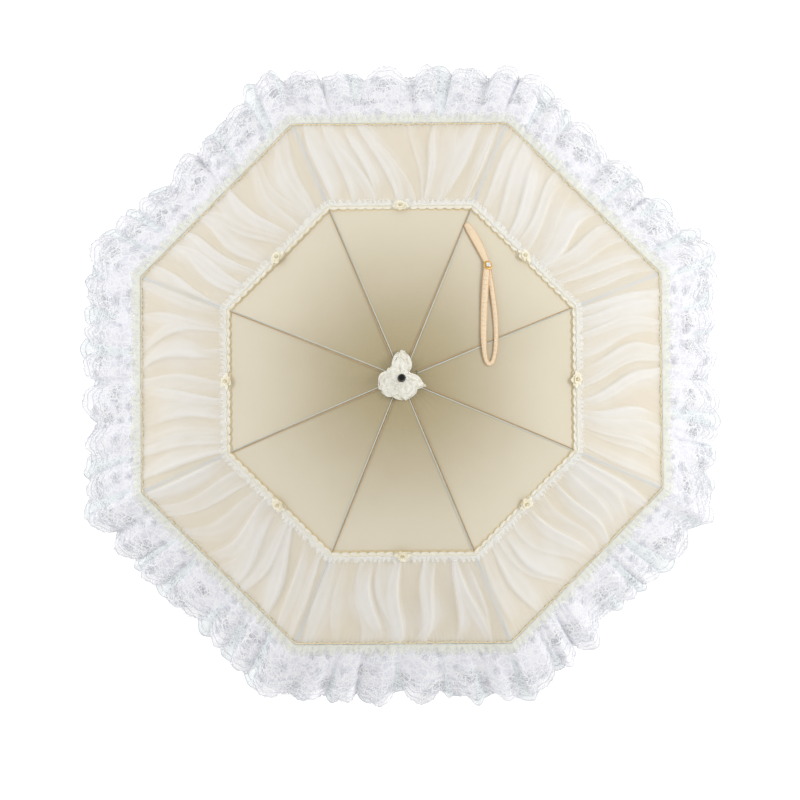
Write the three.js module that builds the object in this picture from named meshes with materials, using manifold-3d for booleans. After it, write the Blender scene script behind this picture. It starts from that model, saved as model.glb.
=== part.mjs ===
// A stick parasol, standing open with its shaft upright: a turned handle, a steel shaft, eight hinged ribs with
// their stretchers, a sliding runner with two spring catches, and a satin canopy with a ruched band and a lace
// valance. Millimetres, +Z up the shaft. The origin is the centre of the handle's flat end.
import * as THREE from "three";
import { mergeVertices } from "three/addons/utils/BufferGeometryUtils.js";
import Module from "manifold-3d";

const wasm = await Module();
wasm.setup();

const DEG = Math.PI / 180;
const GAP = 0.3; // clearance between neighbouring pieces
const MERGE = 1e-4; // corners closer than this are one corner
const THROUGH = 9; // length of a cutter for a pin hole

// The ribs: each is an arc that starts at its pivot in the crown notch and slopes more towards its tip
const RIB_COUNT = 8;
const RIB_SPACING = (2 * Math.PI) / RIB_COUNT;
const HALF_SPACING = RIB_SPACING / 2;
const FIRST_RIB = 22.5 * DEG;
const PIVOT_R = 10.5; // the ribs' pivots and the stretchers' lower ends lie on this radius
const PIVOT_Z = 755;
const RIB_START_SLOPE = 5 * DEG;
const RIB_END_SLOPE = 42 * DEG;
const RIB_ARC = 455; // along the arc from the pivot to the hem
const RIB_RADIUS = RIB_ARC / (RIB_END_SLOPE - RIB_START_SLOPE);
const RIB_LENGTH = 447;
const RIB_WIDTH = 2.6;
const RIB_DEPTH = 3.2;
const EYE_R = 2.4; // the rounded ends that the pivots pass through
const PIN_HOLE_R = 1.1;
const PIN_R = 0.8;

// The stretchers are as long as the distance from a rib's pivot to its rivet, so their lower ends stay on PIVOT_R
const LUG_ARC = 185; // where along the rib its lug hangs
const LUG_DROP = 4.5;
const STRETCHER_WIDTH = 2.2;
const STRETCHER_DEPTH = 3;
const LOWER_EYE_R = 2.2;
const EAR_INNER = 1.65; // the ears on both sides of the lug reach from here to EAR_OUTER
const EAR_OUTER = 2.65;
const BRIDGE_START = 4.2; // from the rivet, where the ears join the strut
const BRIDGE_END = 9;

// Stick
const SHAFT_R = 5;
const SHAFT_WALL = 0.8;
const SHAFT_BOTTOM = 60;
const SHAFT_TOP = 774;
const HANDLE_TOP = 140;
const COLLAR_TOP = 151;
const NOTCH_R = 14;
const NOTCH_BOTTOM = 748;
const NOTCH_TOP = 762;
const SLOT_START = 7.8; // the notch's and the runner's slots are cut outwards from here
const WIRE_R = 0.5;
const WIRE_GROOVE_HALF = WIRE_R + GAP;
const FERRULE_R = 7;
const FERRULE_TOP = 803;

// Runner
const RING_HALF = 5; // half the height of the ring that holds the stretchers
const SLEEVE_R = 7.8;
const RUNNER_BORE = 5.4;
const GRIP_R = 10.5;
const GRIP_TOP_DROP = 48; // below the stretchers' lower ends
const RUNNER_DROP = 63;
const CATCH_NOSE = 6.4; // how far from the axis a catch's nose reaches
const CATCH_WIDTH = 2;
const CATCH_HEIGHT = 13;
const BLADE_BACK = 0.5; // how far past the axis a catch's blade reaches
const BLADE_PAST_NOSE = 4;
const BOTTOM_CATCH_Z = 338;

// Canopy: every cloth panel is a thin shell at a small height over the ribs' centre lines
const CLOTH_LIFT = 2.6;
const SATIN = 0.8;
const RUCHE = 2.5;
const LACE = 1.5;
const CROWN_ARC = 5.2; // where the satin starts
const BRAID_ARC = 277; // where the satin ends and the ruched band starts
const LACE_LENGTH = 126;
const LACE_SLOPE = 40 * DEG;
const ROSETTE_R = 33;

// Tie strap, over the satin from the second rib's seam: distance from the shaft and direction of its points
const STRAP_SEWN = polar(246, 66.3 * DEG);
const STRAP_STONE = polar(206, 52.9 * DEG);
const STRAP_END = polar(128, 7.2 * DEG);
const STRAP_LIFT = 4;
const STRAP_THICK = 1;
const STRAP_HALF = 6.5;
const LOOP_HALF = 10;
const LOOP_OPEN_HALF = 4;
const STONE_R = 7.2;

function polar(distance, direction) {
  return new THREE.Vector2(distance * Math.cos(direction), distance * Math.sin(direction));
}

// ---- Solids ----

function bare(geometry) {
  // Position only, with shared vertices merged and no collapsed triangles
  const copy = geometry.clone();
  copy.deleteAttribute("normal");
  copy.deleteAttribute("uv");
  const merged = mergeVertices(copy, MERGE);
  const kept = [];
  const index = merged.index.array;
  for (let i = 0; i < index.length; i += 3) {
    const [a, b, c] = index.slice(i, i + 3);
    if (a !== b && b !== c && a !== c) kept.push(a, b, c);
  }
  merged.setIndex(kept);
  return merged;
}

function facingOut(geometry) {
  // The signed volume is negative when the faces point in
  const merged = bare(geometry);
  const [a, b, c] = [new THREE.Vector3(), new THREE.Vector3(), new THREE.Vector3()];
  const place = merged.attributes.position;
  const index = merged.index.array;
  let volume = 0;
  for (let i = 0; i < index.length; i += 3) {
    a.fromBufferAttribute(place, index[i]);
    b.fromBufferAttribute(place, index[i + 1]);
    c.fromBufferAttribute(place, index[i + 2]);
    volume += a.dot(b.cross(c));
  }
  if (volume < 0) merged.setIndex(Array.from(index).reverse());
  return merged;
}

function toSolid(geometry) {
  const merged = facingOut(geometry);
  const vertProperties = new Float32Array(merged.attributes.position.array);
  const triVerts = new Uint32Array(merged.index.array);
  return new wasm.Manifold(new wasm.Mesh({ numProp: 3, vertProperties, triVerts }));
}

function toGeometry(solid) {
  const mesh = solid.getMesh();
  const geometry = new THREE.BufferGeometry();
  geometry.setAttribute("position", new THREE.BufferAttribute(mesh.vertProperties, 3));
  geometry.setIndex(new THREE.BufferAttribute(mesh.triVerts, 1));
  return geometry;
}

function join(...geometries) {
  return toGeometry(geometries.map(toSolid).reduce((whole, next) => whole.add(next)));
}

function cut(geometry, ...cutters) {
  return toGeometry(cutters.map(toSolid).reduce((left, next) => left.subtract(next), toSolid(geometry)));
}

function turned(profile, segments = 24) {
  // A solid of revolution about the shaft's axis, from [radius, height] points
  const points = profile.map(([r, z]) => new THREE.Vector2(r, z));
  return facingOut(new THREE.LatheGeometry(points, segments).rotateX(Math.PI / 2));
}

function ring(inner, outer, bottom, top, segments = 24) {
  const corners = [[inner, bottom], [outer, bottom], [outer, top], [inner, top], [inner, bottom]];
  return turned(corners, segments);
}

function plate(shape, thickness, curveSegments = 8) {
  // A shape drawn in a rib's plane, as [distance from the axis, height], with its thickness across that plane
  const geometry = new THREE.ExtrudeGeometry(shape, { depth: thickness, bevelEnabled: false, curveSegments });
  return facingOut(geometry.translate(0, 0, -thickness / 2).rotateX(Math.PI / 2));
}

function disc([r, z], radius, thickness, segments = 12) {
  const geometry = new THREE.CylinderGeometry(radius, radius, thickness, segments);
  return facingOut(geometry.translate(r, 0, z));
}

function block(x, y, z) {
  // Each argument is a [low, high] pair
  const size = [x, y, z].map(([low, high]) => high - low);
  const middle = [x, y, z].map(([low, high]) => (high + low) / 2);
  return new THREE.BoxGeometry(...size).translate(...middle);
}

function spokes(makeOne) {
  // One copy of a cutter on each rib's direction
  return Array.from({ length: RIB_COUNT }, (_, n) => makeOne().rotateZ(FIRST_RIB + n * RIB_SPACING));
}

// ---- Where things are ----

function ribPoint(arc, lift = 0) {
  // The point over a rib's centre line, as [distance from the shaft's axis, height]
  const slope = RIB_START_SLOPE + arc / RIB_RADIUS;
  const r = PIVOT_R + RIB_RADIUS * (Math.sin(slope) - Math.sin(RIB_START_SLOPE));
  const z = PIVOT_Z - RIB_RADIUS * (Math.cos(RIB_START_SLOPE) - Math.cos(slope));
  return [r + lift * Math.sin(slope), z + lift * Math.cos(slope)];
}

function canopyHeight(x, y, lift) {
  // The canopy is straight from rib to rib, so its height depends on the distance along the panel's middle line
  const middle = Math.round(Math.atan2(y, x) / RIB_SPACING) * RIB_SPACING;
  const along = x * Math.cos(middle) + y * Math.sin(middle);
  const r = along / Math.cos(HALF_SPACING);
  const slope = Math.asin((r - PIVOT_R) / RIB_RADIUS + Math.sin(RIB_START_SLOPE));
  const rib = PIVOT_Z - RIB_RADIUS * (Math.cos(RIB_START_SLOPE) - Math.cos(slope));
  return rib + lift / Math.cos(slope);
}

const RIVET = ribPoint(LUG_ARC, -LUG_DROP);
const RING_Z = 2 * RIVET[1] - PIVOT_Z; // the stretchers' lower ends

// ---- Stick ----

function catchSlot(bottom) {
  const side = CATCH_WIDTH / 2 + GAP;
  return block([0, SHAFT_R + 1], [-side, side], [bottom - GAP, bottom + CATCH_HEIGHT + GAP]);
}

const TOP_CATCH_Z = RING_Z - RUNNER_DROP - GAP - CATCH_HEIGHT;

function shaftTube() {
  const tube = ring(SHAFT_R - SHAFT_WALL, SHAFT_R, SHAFT_BOTTOM, SHAFT_TOP);
  return cut(tube, catchSlot(TOP_CATCH_Z), catchSlot(BOTTOM_CATCH_Z));
}

function springCatch(bottom) {
  // A blade inside the shaft, with a wedge nose that stands out through the shaft's slot
  const inner = SHAFT_R - SHAFT_WALL - 2 * GAP;
  const top = bottom + CATCH_HEIGHT;
  const shape = new THREE.Shape([
    new THREE.Vector2(-BLADE_BACK, bottom - BLADE_PAST_NOSE),
    new THREE.Vector2(inner, bottom - BLADE_PAST_NOSE),
    new THREE.Vector2(inner, bottom),
    new THREE.Vector2(SHAFT_R, bottom),
    new THREE.Vector2(CATCH_NOSE, top - 2),
    new THREE.Vector2(CATCH_NOSE, top),
    new THREE.Vector2(inner, top),
    new THREE.Vector2(inner, top + BLADE_PAST_NOSE),
    new THREE.Vector2(-BLADE_BACK, top + BLADE_PAST_NOSE),
  ]);
  return plate(shape, CATCH_WIDTH);
}

function handle() {
  const outside = [
    [0, 0], [11.5, 0], [13.2, 1.6], [13.8, 8], [12.6, 14], [10.2, 18], [9.6, 20], [11.2, 22], [11.2, 25],
    [9.8, 27], [10.6, 45], [11.8, 70], [11.6, 92], [10.2, 112], [8.8, 122], [9.9, 125], [9.9, 128], [8.7, 131],
    [8.4, HANDLE_TOP], [0, HANDLE_TOP],
  ];
  const bore = turned([[0, SHAFT_BOTTOM - GAP], [SHAFT_R + GAP, SHAFT_BOTTOM - GAP],
    [SHAFT_R + GAP, HANDLE_TOP + 1], [0, HANDLE_TOP + 1]]);
  return cut(turned(outside), bore);
}

function handleCollar() {
  const bore = SHAFT_R + GAP;
  const bottom = HANDLE_TOP + GAP;
  return turned([
    [bore, bottom], [8.4, bottom], [8.9, bottom + 1], [8.9, bottom + 3], [8, bottom + 4],
    [7.2, COLLAR_TOP - 2], [6.8, COLLAR_TOP], [bore, COLLAR_TOP], [bore, bottom],
  ]);
}

function slot(width, bottom, top) {
  return block([SLOT_START, NOTCH_R + 2], [-width / 2, width / 2], [bottom - 1, top + 1]);
}

function notch() {
  const bore = SHAFT_R + GAP;
  const body = turned([
    [bore, NOTCH_BOTTOM], [NOTCH_R - 1, NOTCH_BOTTOM], [NOTCH_R, NOTCH_BOTTOM + 1], [NOTCH_R, NOTCH_TOP - 3],
    [NOTCH_R - 2, NOTCH_TOP], [bore, NOTCH_TOP], [bore, NOTCH_BOTTOM],
  ]);
  const groove = ring(
    PIVOT_R - WIRE_GROOVE_HALF, PIVOT_R + WIRE_GROOVE_HALF, PIVOT_Z - WIRE_GROOVE_HALF, NOTCH_TOP + 1,
  );
  return cut(body, groove, ...spokes(() => slot(RIB_WIDTH + 2 * GAP, NOTCH_BOTTOM, NOTCH_TOP)));
}

function notchWire() {
  return facingOut(new THREE.TorusGeometry(PIVOT_R, WIRE_R, 6, 40).translate(0, 0, PIVOT_Z));
}

function ferrule() {
  const base = NOTCH_TOP + GAP;
  const socket = SHAFT_R + GAP;
  return turned([
    [socket, base], [FERRULE_R, base], [FERRULE_R, base + 10], [5.6, base + 16], [4.6, FERRULE_TOP - 8],
    [4.6, FERRULE_TOP - 2], [3.6, FERRULE_TOP], [0, FERRULE_TOP], [0, SHAFT_TOP + GAP],
    [socket, SHAFT_TOP + GAP], [socket, base],
  ]);
}

function rosette() {
  // The gathered lace round the ferrule's base, resting on the satin
  const bore = FERRULE_R + GAP;
  const base = NOTCH_TOP + GAP;
  return turned([
    [bore, base], [NOTCH_R + 0.6, base], [NOTCH_R + 2, base - 2.2], [ROSETTE_R, base - 4.2],
    [ROSETTE_R, base - 2], [ROSETTE_R - 6, base + 6], [ROSETTE_R - 18, base + 9], [bore, base + 6], [bore, base],
  ]);
}

// ---- Runner ----

function runner() {
  const top = RING_Z + RING_HALF;
  const low = RING_Z - RING_HALF;
  const gripTop = RING_Z - GRIP_TOP_DROP;
  const bottom = RING_Z - RUNNER_DROP;
  const body = turned([
    [RUNNER_BORE, bottom], [GRIP_R - 1, bottom], [GRIP_R, bottom + 1], [GRIP_R - 0.8, bottom + 5],
    [GRIP_R - 0.8, gripTop - 5], [GRIP_R, gripTop - 1], [SLEEVE_R, gripTop], [SLEEVE_R, low], [NOTCH_R, low],
    [NOTCH_R, top - 1], [NOTCH_R - 1, top], [RUNNER_BORE, top], [RUNNER_BORE, bottom],
  ]);
  const keyHalf = CATCH_WIDTH / 2 + 2 * GAP;
  const keyway = block([RUNNER_BORE - 1, CATCH_NOSE + GAP], [-keyHalf, keyHalf], [bottom - 1, top + 1]);
  return cut(body, keyway, ...spokes(() => slot(STRETCHER_WIDTH + 2 * GAP, low, top)));
}

// ---- Ribs and stretchers ----

function planeShape(corners) {
  return new THREE.Shape(corners.map(([r, z]) => new THREE.Vector2(r, z)));
}

function arcBand(from, to, depth, steps) {
  // A strip along the rib's arc, in the rib's plane
  const across = (lift) => (n) => new THREE.Vector2(...ribPoint(from + ((to - from) * n) / steps, lift));
  const count = Array.from({ length: steps + 1 }, (_, n) => n);
  return new THREE.Shape([...count.map(across(depth / 2)), ...count.reverse().map(across(-depth / 2))]);
}

function rib() {
  const band = plate(arcBand(0, RIB_LENGTH, RIB_DEPTH, 16), RIB_WIDTH);
  const crownEye = disc([PIVOT_R, PIVOT_Z], EYE_R, RIB_WIDTH);
  const lugNeck = plate(planeShape([
    ribPoint(LUG_ARC - EYE_R, 0), ribPoint(LUG_ARC + EYE_R, 0),
    ribPoint(LUG_ARC + EYE_R, -LUG_DROP), ribPoint(LUG_ARC - EYE_R, -LUG_DROP),
  ]), RIB_WIDTH);
  const whole = join(band, crownEye, lugNeck, disc(RIVET, EYE_R, RIB_WIDTH));
  return cut(whole, disc([PIVOT_R, PIVOT_Z], PIN_HOLE_R, THROUGH), disc(RIVET, PIN_HOLE_R, THROUGH));
}

function ribTip() {
  // A small rounded cap past the rib's end, in line with it
  const profile = [[0, 0], [1.7, 0], [2, 1], [2, 9], [1.6, 10.6], [0, 11.4]];
  const [r, z] = ribPoint(RIB_LENGTH + GAP);
  return turned(profile, 12).rotateY(Math.PI / 2 + RIB_END_SLOPE).translate(r, 0, z);
}

function stretcher() {
  // Drawn along +X from the rivet to the runner's ring, then turned down to its place
  const length = Math.hypot(RIVET[0] - PIVOT_R, RIVET[1] - RING_Z);
  const half = STRETCHER_DEPTH / 2;
  const width = [-STRETCHER_WIDTH / 2, STRETCHER_WIDTH / 2];
  const strut = block([BRIDGE_START, length], width, [-half, half]);
  const bridge = block([BRIDGE_START, BRIDGE_END], [-EAR_OUTER, EAR_OUTER], [-half, half]);
  const parts = [strut, bridge, disc([length, 0], LOWER_EYE_R, STRETCHER_WIDTH)];
  for (const side of [-1, 1]) {
    const ear = [EAR_INNER * side, EAR_OUTER * side].sort((a, b) => a - b);
    const earDisc = disc([0, 0], EYE_R, EAR_OUTER - EAR_INNER);
    parts.push(block([0, BRIDGE_END], ear, [-half, half]));
    parts.push(earDisc.translate(0, (side * (EAR_OUTER + EAR_INNER)) / 2, 0));
  }
  parts.push(disc([0, 0], PIN_R, 2 * EAR_OUTER));
  const bored = cut(join(...parts), disc([length, 0], PIN_R, THROUGH));
  const down = Math.atan2(RIVET[1] - RING_Z, RIVET[0] - PIVOT_R);
  return bored.rotateY(Math.PI - down).translate(RIVET[0], 0, RIVET[1]);
}

// ---- Canopy ----

function clothShell(rows) {
  // A shell folded along the rib, from rows of [inner point, outer point] on the rib's plane. Each row runs
  // straight to the panels' middle lines on both sides, and stops just short of them.
  const corner = ([r, z], side) => {
    const reach = r * Math.sin(HALF_SPACING) - GAP / 2;
    return [r - reach * Math.sin(HALF_SPACING), side * reach * Math.cos(HALF_SPACING), z];
  };
  const points = [];
  for (const [inner, outer] of rows) {
    for (const point of [inner, outer]) points.push(corner(point, -1), [point[0], 0, point[1]], corner(point, 1));
  }
  const index = [];
  const quad = (a, b, c, d) => index.push(a, b, c, a, c, d);
  for (let row = 0; row < rows.length - 1; row++) {
    const here = 6 * row;
    const next = here + 6;
    for (let n = 0; n < 2; n++) {
      quad(here + n, here + n + 1, next + n + 1, next + n);
      quad(here + 3 + n, next + 3 + n, next + 4 + n, here + 4 + n);
    }
    quad(here, next, next + 3, here + 3);
    quad(here + 2, here + 5, next + 5, next + 2);
  }
  const last = 6 * (rows.length - 1);
  for (let n = 0; n < 2; n++) {
    quad(n, n + 3, n + 4, n + 1);
    quad(last + n, last + n + 1, last + n + 4, last + n + 3);
  }
  const geometry = new THREE.BufferGeometry();
  geometry.setAttribute("position", new THREE.Float32BufferAttribute(points.flat(), 3));
  geometry.setIndex(index);
  return facingOut(geometry);
}

function canopyBand(from, to, thickness, steps) {
  const rows = Array.from({ length: steps + 1 }, (_, n) => {
    const arc = from + ((to - from) * n) / steps;
    return [ribPoint(arc, CLOTH_LIFT), ribPoint(arc, CLOTH_LIFT + thickness)];
  });
  return clothShell(rows);
}

function laceValance() {
  const steps = 3;
  const [hemR, hemZ] = ribPoint(RIB_ARC + GAP, CLOTH_LIFT);
  const rows = Array.from({ length: steps + 1 }, (_, n) => {
    const along = (LACE_LENGTH * n) / steps;
    const r = hemR + along * Math.cos(LACE_SLOPE);
    const z = hemZ - along * Math.sin(LACE_SLOPE);
    return [[r, z], [r + LACE * Math.sin(LACE_SLOPE), z + LACE * Math.cos(LACE_SLOPE)]];
  });
  return clothShell(rows);
}

// ---- Tie strap ----

function ribbon(leftEdge, rightEdge, steps) {
  // A thin strip over the canopy, between two edges that are given by how far along it they are
  const points = [];
  const index = [];
  for (let n = 0; n <= steps; n++) {
    for (const [edge, lift] of [[leftEdge, 0], [rightEdge, 0], [rightEdge, STRAP_THICK], [leftEdge, STRAP_THICK]]) {
      const { x, y } = edge(n / steps);
      points.push(x, y, canopyHeight(x, y, STRAP_LIFT + lift));
    }
  }
  const quad = (a, b, c, d) => index.push(a, b, c, a, c, d);
  for (let n = 0; n < steps; n++) {
    for (let k = 0; k < 4; k++) quad(4 * n + k, 4 * n + ((k + 1) % 4), 4 * n + 4 + ((k + 1) % 4), 4 * n + 4 + k);
  }
  quad(3, 2, 1, 0);
  quad(4 * steps, 4 * steps + 1, 4 * steps + 2, 4 * steps + 3);
  const geometry = new THREE.BufferGeometry();
  geometry.setAttribute("position", new THREE.Float32BufferAttribute(points, 3));
  geometry.setIndex(index);
  return facingOut(geometry);
}

function tieStrap() {
  // A ribbon down to the stone, then an elastic loop of two legs that meet again at its end
  const edge = (from, to, shift) => (t) => {
    const way = to.clone().sub(from);
    const side = new THREE.Vector2(-way.y, way.x).normalize();
    return from.clone().addScaledVector(way, t).addScaledVector(side, shift(t));
  };
  const steady = (shift) => () => shift;
  const bow = (start, middle) => (t) => start + (middle - start) * Math.sin(Math.PI * t);
  const loopStart = STRAP_STONE.clone().lerp(STRAP_SEWN, 0.1);
  const sewn = (shift) => edge(STRAP_SEWN, STRAP_STONE, steady(shift));
  const loop = (start, middle) => edge(loopStart, STRAP_END, bow(start, middle));
  return join(
    ribbon(sewn(STRAP_HALF), sewn(-STRAP_HALF), 6),
    ribbon(loop(STRAP_HALF, LOOP_HALF), loop(-1, LOOP_OPEN_HALF), 14),
    ribbon(loop(1, -LOOP_OPEN_HALF), loop(-STRAP_HALF, -LOOP_HALF), 14),
  );
}

function strapStone() {
  // A clear stone in a round metal setting, square to the satin under it
  const profile = [[0, 0], [STONE_R - 1, 0], [STONE_R, 1.2], [STONE_R - 1.5, 2.6], [3.4, 3], [2.6, 4.6], [0, 5.2]];
  const { x, y } = STRAP_STONE;
  const middle = Math.round(Math.atan2(y, x) / RIB_SPACING) * RIB_SPACING;
  const step = 1;
  const ahead = canopyHeight(x + step * Math.cos(middle), y + step * Math.sin(middle), 0);
  const tilt = Math.atan2(canopyHeight(x, y, 0) - ahead, step);
  const z = canopyHeight(x, y, STRAP_LIFT + STRAP_THICK + GAP);
  return turned(profile, 20).rotateY(tilt).rotateZ(middle).translate(x, y, z);
}

// ---- Materials ----

function finish(color, roughness, metalness) {
  return new THREE.MeshStandardMaterial({ color, roughness, metalness });
}

const STEEL = finish(0xb9bcc0, 0.35, 1);
const BLACK_PLASTIC = finish(0x17171a, 0.4, 0);
const WOOD = finish(0xc49a68, 0.45, 0);
const SATIN_CLOTH = finish(0xd8ceb4, 0.5, 0);
const RUCHED_CLOTH = finish(0xefe2d0, 0.7, 0);
const LACE_CLOTH = finish(0xeef0f3, 0.85, 0);
const PEACH_RIBBON = finish(0xe0bd96, 0.45, 0);
const GOLD = finish(0xc9a24a, 0.3, 1);

// ---- The parasol ----

function piece(name, geometry, material) {
  const mesh = new THREE.Mesh(geometry, material);
  mesh.name = name;
  return mesh;
}

const parasol = new THREE.Group();
parasol.add(
  piece("shaft_tube", shaftTube(), STEEL),
  piece("handle", handle(), WOOD),
  piece("handle_collar", handleCollar(), STEEL),
  piece("notch", notch(), BLACK_PLASTIC),
  piece("notch_wire", notchWire(), STEEL),
  piece("ferrule", ferrule(), BLACK_PLASTIC),
  piece("rosette", rosette(), LACE_CLOTH),
  piece("runner", runner(), BLACK_PLASTIC),
  piece("top_catch", springCatch(TOP_CATCH_Z), STEEL),
  piece("bottom_catch", springCatch(BOTTOM_CATCH_Z), STEEL),
  piece("tie_strap", tieStrap(), PEACH_RIBBON),
  piece("strap_stone", strapStone(), GOLD),
);

for (let n = 1; n <= RIB_COUNT; n++) {
  const spoke = new THREE.Group();
  spoke.rotation.z = FIRST_RIB + (n - 1) * RIB_SPACING;
  spoke.add(
    piece(`rib_${n}`, rib(), STEEL),
    piece(`rib_tip_${n}`, ribTip(), STEEL),
    piece(`stretcher_${n}`, stretcher(), STEEL),
    piece(`canopy_gore_${n}`, canopyBand(CROWN_ARC, BRAID_ARC - GAP, SATIN, 8), SATIN_CLOTH),
    piece(`ruched_band_${n}`, canopyBand(BRAID_ARC, RIB_ARC, RUCHE, 6), RUCHED_CLOTH),
    piece(`lace_valance_${n}`, laceValance(), LACE_CLOTH),
  );
  parasol.add(spoke);
}

export default parasol;
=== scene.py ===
"""The lace parasol's looks, built around its CAD frame: satin gores, a ruched chiffon band, braid and ribbon
roses, a gathered trim, two layers of lace, a crown rosette and a tie strap. Metres, +Z up the shaft."""
from math import atan2, cos, hypot, pi, radians, sin

import bpy
import numpy as np
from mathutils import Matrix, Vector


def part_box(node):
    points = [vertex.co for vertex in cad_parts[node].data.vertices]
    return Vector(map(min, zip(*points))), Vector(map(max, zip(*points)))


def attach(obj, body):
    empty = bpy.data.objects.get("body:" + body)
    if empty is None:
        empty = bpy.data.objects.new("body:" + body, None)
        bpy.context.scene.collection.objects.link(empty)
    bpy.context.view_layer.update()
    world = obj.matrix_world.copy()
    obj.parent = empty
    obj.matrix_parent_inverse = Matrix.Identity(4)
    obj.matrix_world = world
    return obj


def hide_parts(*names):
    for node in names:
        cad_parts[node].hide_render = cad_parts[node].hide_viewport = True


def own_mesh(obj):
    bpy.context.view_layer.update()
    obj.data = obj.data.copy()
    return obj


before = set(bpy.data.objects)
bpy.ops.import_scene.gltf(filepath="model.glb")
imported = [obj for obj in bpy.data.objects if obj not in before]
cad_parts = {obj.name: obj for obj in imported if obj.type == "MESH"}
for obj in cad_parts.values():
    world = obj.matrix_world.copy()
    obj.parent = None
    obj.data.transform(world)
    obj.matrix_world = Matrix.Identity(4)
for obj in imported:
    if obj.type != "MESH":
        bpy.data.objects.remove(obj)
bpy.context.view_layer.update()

# ---- Driving dimensions, as in the CAD ----

RIBS = 8
SPACING = 2 * pi / RIBS
HALF = SPACING / 2
FIRST = radians(22.5)
PIVOT_R = 0.0105
PIVOT_Z = 0.755
START_SLOPE = radians(5)
END_SLOPE = radians(42)
HEM = 0.455  # along a rib from its pivot to the hem
RIB_RADIUS = HEM / (END_SLOPE - START_SLOPE)
CROWN = 0.0052
BRAID = 0.277  # where the satin ends and the ruched band starts
LACE_LENGTH = 0.126
LACE_SLOPE = radians(40)
CLOTH_LIFT = 0.003  # the satin over the ribs' centre lines

rng = np.random.default_rng(8)

# ---- Camera ----

CAMERA_DISTANCE = 3.0
CAMERA_ELEVATION = radians(88.6)
CAMERA_AIM = (-0.003, -0.029, 0.70)
CAMERA_ROLL = radians(-0.42)
CAMERA_LENS_MM = 93.2


def make_camera():
    data = bpy.data.cameras.new("camera")
    data.lens = CAMERA_LENS_MM
    data.sensor_width = 36
    camera = bpy.data.objects.new("camera", data)
    bpy.context.collection.objects.link(camera)
    x, y, z = CAMERA_AIM
    away = CAMERA_DISTANCE * cos(CAMERA_ELEVATION)
    camera.location = (x, y - away, z + CAMERA_DISTANCE * sin(CAMERA_ELEVATION))
    camera.rotation_mode = "XYZ"
    camera.rotation_euler = (pi / 2 - CAMERA_ELEVATION, 0, CAMERA_ROLL)
    bpy.context.scene.camera = camera


make_camera()

# ---- Colour and node helpers ----


def rgb(red, green, blue):
    """A screen colour, 0 to 255, as linear light."""
    channels = []
    for value in (red, green, blue):
        c = value / 255
        channels.append(c / 12.92 if c <= 0.04045 else ((c + 0.055) / 1.055) ** 2.4)
    return (*channels, 1)


class Nodes:
    """Short names for building one material's node tree."""

    def __init__(self, name):
        self.material = bpy.data.materials.new(name)
        self.material.use_nodes = True
        self.tree = self.material.node_tree
        self.tree.nodes.clear()

    def add(self, kind, inputs=None, **settings):
        """A node with its settings; each input is another node's output, or a value."""
        node = self.tree.nodes.new("ShaderNode" + kind)
        for key, value in settings.items():
            setattr(node, key, value)
        for key, value in (inputs or {}).items():
            socket = node.inputs[key]
            if isinstance(value, bpy.types.NodeSocket):
                self.tree.links.new(value, socket)
            else:
                socket.default_value = value
        return node

    def math(self, operation, first, second=0.0, third=0.0):
        return self.add("Math", {0: first, 1: second, 2: third}, operation=operation).outputs[0]

    def times(self, first, second):
        return self.math("MULTIPLY", first, second)

    def plus(self, first, second):
        return self.math("ADD", first, second)

    def minus(self, first, second):
        return self.math("SUBTRACT", first, second)

    def line(self, value, slope, start):
        return self.math("MULTIPLY_ADD", value, slope, start)

    def most(self, first, second):
        return self.math("MAXIMUM", first, second)

    def inverse(self, value):
        return self.minus(1.0, value)

    def mix(self, factor, first, second):
        """A colour between two, by the factor."""
        return self.add("Mix", {0: factor, 6: first, 7: second}, data_type="RGBA").outputs[2]

    def attribute(self, name):
        return self.add("Attribute", attribute_name=name).outputs["Fac"]

    def steps(self, value, low, high):
        """0 below low, 1 above high, smooth between them."""
        inputs = {"Value": value, "From Min": low, "From Max": high}
        return self.add("MapRange", inputs, interpolation_type="SMOOTHSTEP").outputs["Result"]

    def noise(self, coordinates, scale, detail=2.0, roughness=0.5):
        inputs = {"Vector": coordinates, "Scale": scale, "Detail": detail, "Roughness": roughness}
        return self.add("TexNoise", inputs).outputs["Fac"]

    def cells(self, vector, scale, randomness, **settings):
        inputs = {"Vector": vector, "Scale": scale, "Randomness": randomness}
        return self.add("TexVoronoi", inputs, voronoi_dimensions="2D", **settings).outputs

    def borders(self, vector, scale, randomness):
        """How far a point is from the borders between cells."""
        return self.cells(vector, scale, randomness, feature="DISTANCE_TO_EDGE")["Distance"]

    def place(self):
        return self.add("TexCoord").outputs["Object"]

    def uv(self):
        return self.add("UVMap", uv_map="cloth").outputs["UV"]

    def scaled(self, vector, scale):
        return self.add("Mapping", {"Vector": vector, "Scale": scale}).outputs["Vector"]

    def weave(self, per_metre):
        """Height of a plain weave, with its threads along the cloth's two directions."""
        u, v = self.add("SeparateXYZ", {"Vector": self.uv()}).outputs[:2]
        turn = per_metre * 2 * pi
        warp = self.math("SINE", self.times(u, turn))
        weft = self.math("SINE", self.times(v, turn))
        return self.times(warp, weft)

    def bump(self, height, strength, distance):
        inputs = {"Height": height, "Strength": strength, "Distance": distance}
        return self.add("Bump", inputs).outputs["Normal"]

    def finish(self, **inputs):
        """The material, with one principled shader whose inputs are named with _ for a space."""
        shader = self.add("BsdfPrincipled", {key.replace("_", " "): value for key, value in inputs.items()})
        self.add("OutputMaterial", {"Surface": shader.outputs[0]})
        return self.material


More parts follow.
